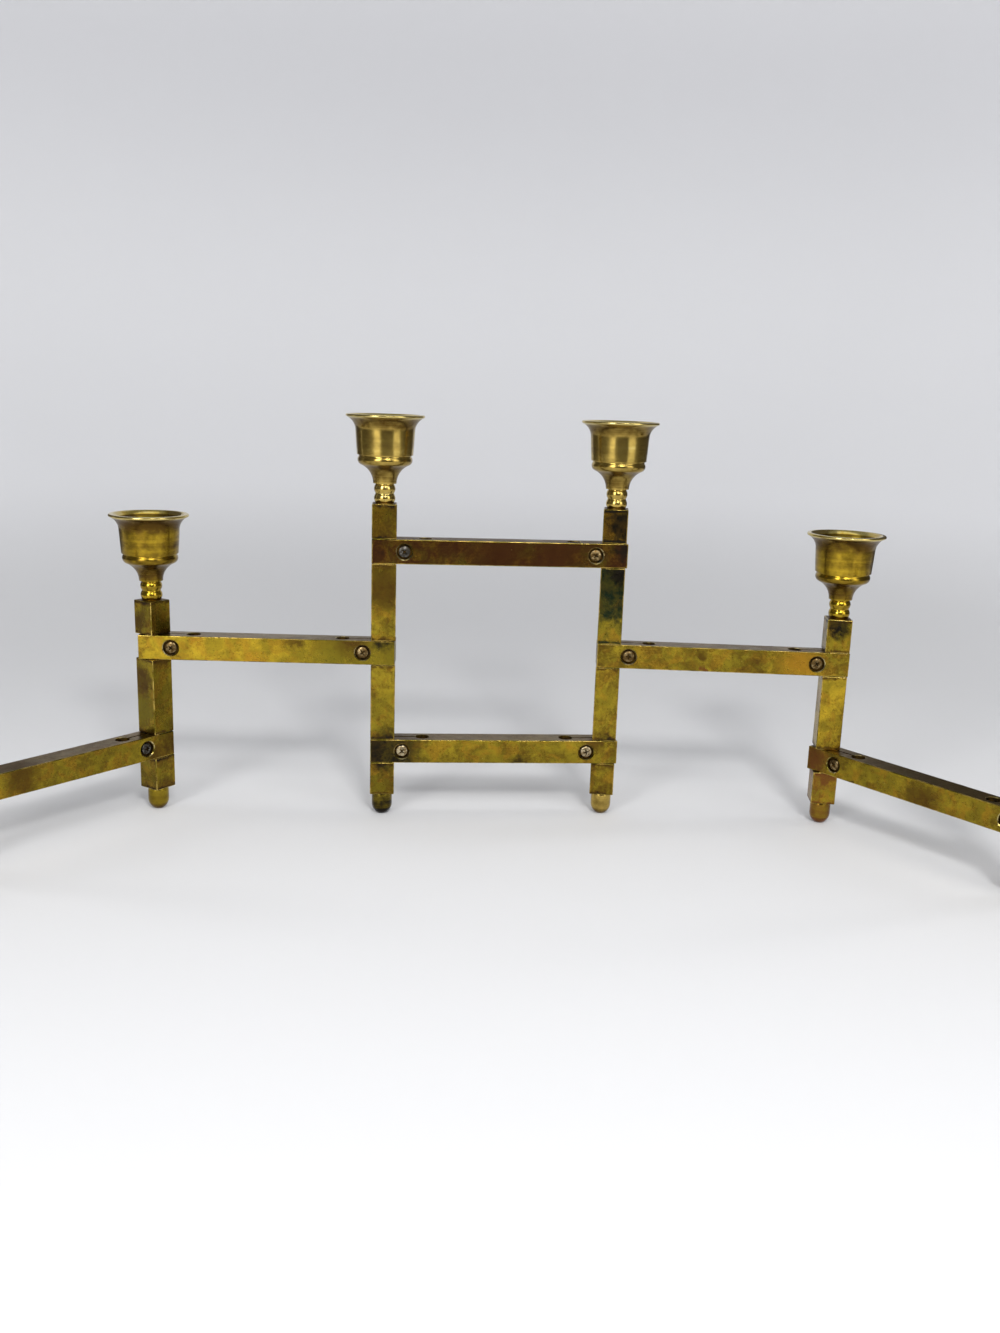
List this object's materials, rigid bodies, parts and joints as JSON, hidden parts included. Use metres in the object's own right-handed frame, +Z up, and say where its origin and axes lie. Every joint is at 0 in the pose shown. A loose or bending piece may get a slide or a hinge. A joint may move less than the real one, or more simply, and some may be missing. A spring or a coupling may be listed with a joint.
{
  "type": "folding tabletop candelabra",
  "caption": "Tabletop candelabra of square brass bars that fold on upright rods, each column ending in a flared candle cup, stepping down from the centre.",
  "frame": {"origin": "on the table surface, in the middle of the box around the candelabra as it stands", "axes": "+X along the centre arms, from left to right; +Z up, along every column; the clamp screws of the centre arms face -Y"},
  "size_m": [0.5118, 0.154, 0.1991],
  "materials": {
    "patinated_brass": "aged, blotchy golden-olive to brown patina",
    "turned_brass": "turned and polished, lightly tarnished",
    "steel_screws": "dull, tarnished",
    "rod_steel": "plain drawn"
  },
  "bodies": {
    "centre_frame": {"centre_arm_low": "patinated_brass", "centre_arm_low_screws": "steel_screws", "centre_arm_top": "patinated_brass", "centre_arm_top_screws": "steel_screws"},
    "left_inner_arm": {"left_arm_inner": "patinated_brass", "left_arm_inner_screws": "steel_screws"},
    "left_outer_arm": {"left_arm_outer": "patinated_brass", "left_arm_outer_screws": "steel_screws"},
    "right_inner_arm": {"right_arm_inner": "patinated_brass", "right_arm_inner_screws": "steel_screws"},
    "right_outer_arm": {"right_arm_outer": "patinated_brass", "right_arm_outer_screws": "steel_screws"},
    "left_outer_column": {"left_outer_cup": "turned_brass", "left_outer_rod": "rod_steel", "left_outer_cap_block": "patinated_brass", "left_outer_base_block": "patinated_brass", "left_outer_foot": "turned_brass"},
    "left_middle_column": {"left_middle_cup": "turned_brass", "left_middle_rod": "rod_steel", "left_middle_cap_block": "patinated_brass", "left_middle_spacer_1": "patinated_brass", "left_middle_base_block": "patinated_brass", "left_middle_foot": "turned_brass"},
    "left_inner_column": {"left_inner_cup": "turned_brass", "left_inner_rod": "rod_steel", "left_inner_cap_block": "patinated_brass", "left_inner_spacer_1": "patinated_brass", "left_inner_spacer_2": "patinated_brass", "left_inner_base_block": "patinated_brass", "left_inner_foot": "turned_brass"},
    "right_inner_column": {"right_inner_cup": "turned_brass", "right_inner_rod": "rod_steel", "right_inner_cap_block": "patinated_brass", "right_inner_spacer_1": "patinated_brass", "right_inner_spacer_2": "patinated_brass", "right_inner_base_block": "patinated_brass", "right_inner_foot": "turned_brass"},
    "right_middle_column": {"right_middle_cup": "turned_brass", "right_middle_rod": "rod_steel", "right_middle_cap_block": "patinated_brass", "right_middle_spacer_1": "patinated_brass", "right_middle_base_block": "patinated_brass", "right_middle_foot": "turned_brass"},
    "right_outer_column": {"right_outer_cup": "turned_brass", "right_outer_rod": "rod_steel", "right_outer_cap_block": "patinated_brass", "right_outer_base_block": "patinated_brass", "right_outer_foot": "turned_brass"}
  },
  "joints": [
    {"name": "left_inner_swing", "type": "hinge", "parent": "centre_frame", "child": "left_inner_arm", "pos_m": [-0.04795, 0.05135, 0], "axis": [0, 0, 1], "range_deg": [-160, 145]},
    {"name": "left_outer_swing", "type": "hinge", "parent": "left_inner_arm", "child": "left_outer_arm", "pos_m": [-0.16074, 0.05825, 0], "axis": [0, 0, -1], "range_deg": [-112, 214]},
    {"name": "right_inner_swing", "type": "hinge", "parent": "centre_frame", "child": "right_inner_arm", "pos_m": [0.06505, 0.05135, 0], "axis": [0, 0, 1], "range_deg": [-139, 170]},
    {"name": "right_outer_swing", "type": "hinge", "parent": "right_inner_arm", "child": "right_outer_arm", "pos_m": [0.1772, 0.03758, 0], "axis": [0, 0, -1], "range_deg": [-214, 112]},
    {"name": "left_outer_turn", "type": "hinge", "parent": "left_outer_arm", "child": "left_outer_column", "pos_m": [-0.23708, -0.02506, 0], "axis": [0, 0, 1], "continuous": true},
    {"name": "left_middle_turn", "type": "hinge", "parent": "left_inner_arm", "child": "left_middle_column", "pos_m": [-0.16074, 0.05825, 0], "axis": [0, 0, 1], "continuous": true},
    {"name": "left_inner_turn", "type": "hinge", "parent": "centre_frame", "child": "left_inner_column", "pos_m": [-0.04795, 0.05135, 0], "axis": [0, 0, 1], "continuous": true},
    {"name": "right_inner_turn", "type": "hinge", "parent": "centre_frame", "child": "right_inner_column", "pos_m": [0.06505, 0.05135, 0], "axis": [0, 0, 1], "continuous": true},
    {"name": "right_middle_turn", "type": "hinge", "parent": "right_inner_arm", "child": "right_middle_column", "pos_m": [0.1772, 0.03758, 0], "axis": [0, 0, 1], "continuous": true},
    {"name": "right_outer_turn", "type": "hinge", "parent": "right_outer_arm", "child": "right_outer_column", "pos_m": [0.23708, -0.05825, 0], "axis": [0, 0, 1], "continuous": true}
  ]
}
